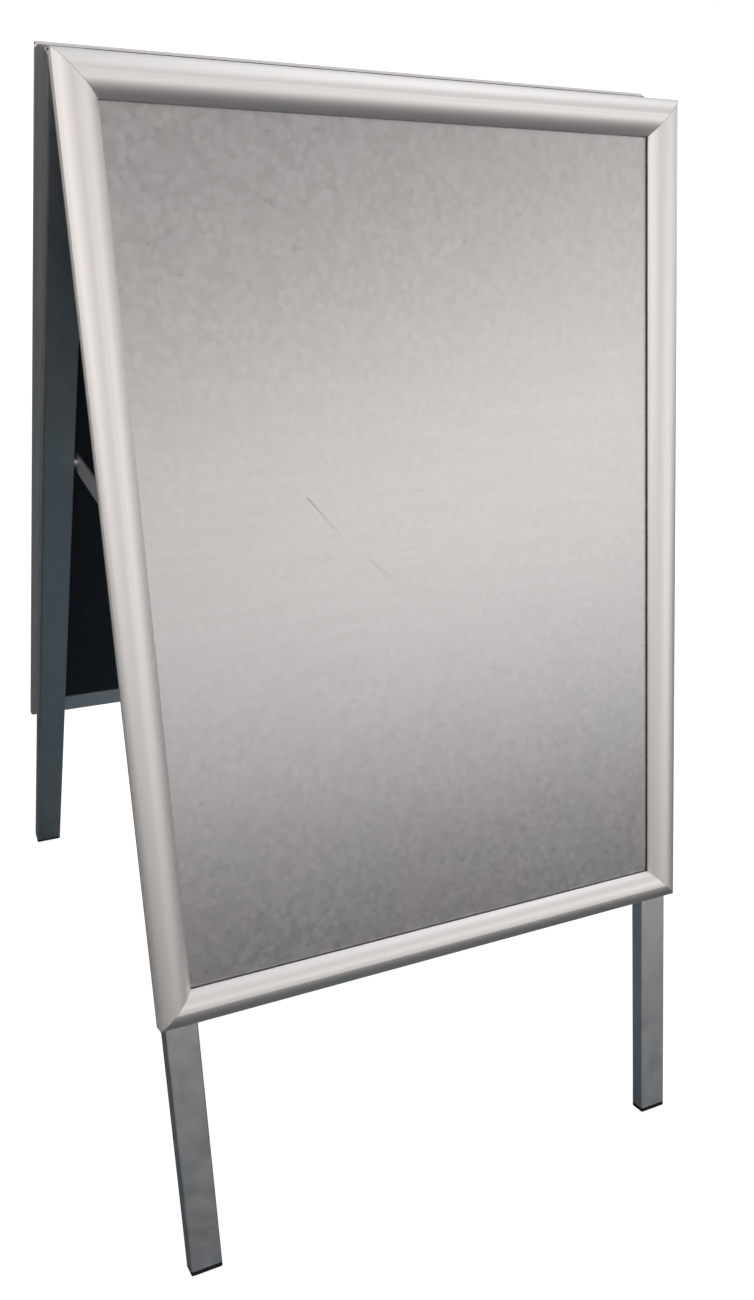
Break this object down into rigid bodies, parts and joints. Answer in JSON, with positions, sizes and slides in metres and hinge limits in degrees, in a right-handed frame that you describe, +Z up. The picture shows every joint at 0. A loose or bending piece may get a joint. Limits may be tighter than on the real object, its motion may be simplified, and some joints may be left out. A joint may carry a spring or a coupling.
{
  "type": "sandwich board",
  "caption": "Folding two-sided sandwich board: snap-open aluminium poster frames on hinged tube legs with folding stays.",
  "frame": {"origin": "on the floor under the middle of the open board", "axes": "+X across the width, front half towards -Y, +Z up"},
  "size_m": [0.648, 0.8264, 1.1334],
  "materials": {
    "anodised_aluminium": "satin silver anodised",
    "galvanised_steel": "satin galvanised sheet, faintly mottled, fine brush lines",
    "clear_sheet": "clear, thin, glossy",
    "leg_aluminium": "satin silver-grey drawn tube",
    "black_plastic": "moulded, matt black",
    "plated_steel": "bright zinc plate",
    "stay_steel": "dull plated strip",
    "spring_steel": "bare spring steel",
    "key_steel": "stamped, plated",
    "rivet_aluminium": "plain rivet"
  },
  "bodies": {
    "front_half": {"front_back_panel": "galvanised_steel", "front_base_rail_bottom": "anodised_aluminium", "front_base_rail_left": "anodised_aluminium", "front_base_rail_right": "anodised_aluminium", "front_base_rail_top": "anodised_aluminium", "front_corner_keys": "key_steel", "front_foot_cap_left": "black_plastic", "front_foot_cap_right": "black_plastic", "front_hinge_leaf_left": "plated_steel", "front_hinge_leaf_right": "plated_steel", "front_hinge_rivets": "rivet_aluminium", "front_leg_left": "leg_aluminium", "front_leg_right": "leg_aluminium", "front_leg_rivets": "rivet_aluminium", "front_poster_cover": "clear_sheet", "front_snap_springs": "spring_steel", "front_stay_pivot_rivets": "plated_steel", "front_stay_spacers": "plated_steel", "hinge_pin_left": "plated_steel", "hinge_pin_right": "plated_steel"},
    "rear_half": {"rear_back_panel": "galvanised_steel", "rear_base_rail_bottom": "anodised_aluminium", "rear_base_rail_left": "anodised_aluminium", "rear_base_rail_right": "anodised_aluminium", "rear_base_rail_top": "anodised_aluminium", "rear_corner_keys": "key_steel", "rear_foot_cap_left": "black_plastic", "rear_foot_cap_right": "black_plastic", "rear_hinge_leaf_left": "plated_steel", "rear_hinge_leaf_right": "plated_steel", "rear_hinge_rivets": "rivet_aluminium", "rear_leg_left": "leg_aluminium", "rear_leg_right": "leg_aluminium", "rear_leg_rivets": "rivet_aluminium", "rear_poster_cover": "clear_sheet", "rear_snap_springs": "spring_steel", "rear_stay_pivot_rivets": "plated_steel", "rear_stay_spacers": "plated_steel"},
    "front_flap_bottom": {"front_snap_rail_bottom": "anodised_aluminium"},
    "front_flap_left": {"front_snap_rail_left": "anodised_aluminium"},
    "front_flap_right": {"front_snap_rail_right": "anodised_aluminium"},
    "front_flap_top": {"front_snap_rail_top": "anodised_aluminium"},
    "front_link_left": {"front_stay_knuckle_left": "plated_steel", "front_stay_left": "stay_steel"},
    "front_link_right": {"front_stay_knuckle_right": "plated_steel", "front_stay_right": "stay_steel"},
    "rear_flap_bottom": {"rear_snap_rail_bottom": "anodised_aluminium"},
    "rear_flap_left": {"rear_snap_rail_left": "anodised_aluminium"},
    "rear_flap_right": {"rear_snap_rail_right": "anodised_aluminium"},
    "rear_flap_top": {"rear_snap_rail_top": "anodised_aluminium"},
    "rear_link_left": {"rear_stay_knuckle_left": "plated_steel", "rear_stay_left": "stay_steel"},
    "rear_link_right": {"rear_stay_knuckle_right": "plated_steel", "rear_stay_right": "stay_steel"}
  },
  "joints": [
    {"name": "fold", "type": "hinge", "parent": "front_half", "child": "rear_half", "pos_m": [0, 0, 1.12318], "axis": [-1, 0, 0], "range_deg": [0, 38.2]},
    {"name": "front_stay_left_turn", "type": "hinge", "parent": "front_half", "child": "front_link_left", "pos_m": [-0.2754, -0.15744, 0.711], "axis": [1, 0, 0], "range_deg": [0, 66.03]},
    {"name": "front_stay_right_turn", "type": "hinge", "parent": "front_half", "child": "front_link_right", "pos_m": [0.2754, -0.15744, 0.711], "axis": [1, 0, 0], "range_deg": [0, 66.03]},
    {"name": "rear_stay_left_turn", "type": "hinge", "parent": "rear_half", "child": "rear_link_left", "pos_m": [-0.2754, 0.15744, 0.711], "axis": [-1, 0, 0], "range_deg": [0, 66.03]},
    {"name": "rear_stay_right_turn", "type": "hinge", "parent": "rear_half", "child": "rear_link_right", "pos_m": [0.2754, 0.15744, 0.711], "axis": [-1, 0, 0], "range_deg": [0, 66.03]},
    {"name": "front_snap_bottom", "type": "hinge", "parent": "front_half", "child": "front_flap_bottom", "pos_m": [0, -0.32167, 0.29081], "axis": [1, 0, 0], "range_deg": [0, 90], "stiffness_Nm_per_rad": 0.3, "springref_deg": -34.38},
    {"name": "front_snap_right", "type": "hinge", "parent": "front_half", "child": "front_flap_right", "pos_m": [0.3208, -0.17629, 0.71065], "axis": [0, 0.3272, 0.9449], "range_deg": [0, 90], "stiffness_Nm_per_rad": 0.3, "springref_deg": -34.38},
    {"name": "front_snap_top", "type": "hinge", "parent": "front_half", "child": "front_flap_top", "pos_m": [0, -0.03091, 1.13049], "axis": [-1, 0, 0], "range_deg": [0, 90], "stiffness_Nm_per_rad": 0.3, "springref_deg": -34.38},
    {"name": "front_snap_left", "type": "hinge", "parent": "front_half", "child": "front_flap_left", "pos_m": [-0.3208, -0.17629, 0.71065], "axis": [0, -0.3272, -0.9449], "range_deg": [0, 90], "stiffness_Nm_per_rad": 0.3, "springref_deg": -34.38},
    {"name": "rear_snap_bottom", "type": "hinge", "parent": "rear_half", "child": "rear_flap_bottom", "pos_m": [0, 0.32167, 0.29081], "axis": [-1, 0, 0], "range_deg": [0, 90], "stiffness_Nm_per_rad": 0.3, "springref_deg": -34.38},
    {"name": "rear_snap_right", "type": "hinge", "parent": "rear_half", "child": "rear_flap_right", "pos_m": [0.3208, 0.17629, 0.71065], "axis": [0, 0.3272, -0.9449], "range_deg": [0, 90], "stiffness_Nm_per_rad": 0.3, "springref_deg": -34.38},
    {"name": "rear_snap_top", "type": "hinge", "parent": "rear_half", "child": "rear_flap_top", "pos_m": [0, 0.03091, 1.13049], "axis": [1, 0, 0], "range_deg": [0, 90], "stiffness_Nm_per_rad": 0.3, "springref_deg": -34.38},
    {"name": "rear_snap_left", "type": "hinge", "parent": "rear_half", "child": "rear_flap_left", "pos_m": [-0.3208, 0.17629, 0.71065], "axis": [0, -0.3272, 0.9449], "range_deg": [0, 90], "stiffness_Nm_per_rad": 0.3, "springref_deg": -34.38}
  ],
  "couplings": [
    {"joint": "front_stay_left_turn", "follows": "fold", "ratio": 1.7234},
    {"joint": "front_stay_right_turn", "follows": "fold", "ratio": 1.7234},
    {"joint": "rear_stay_left_turn", "follows": "fold", "ratio": 1.7234},
    {"joint": "rear_stay_right_turn", "follows": "fold", "ratio": 1.7234}
  ]
}
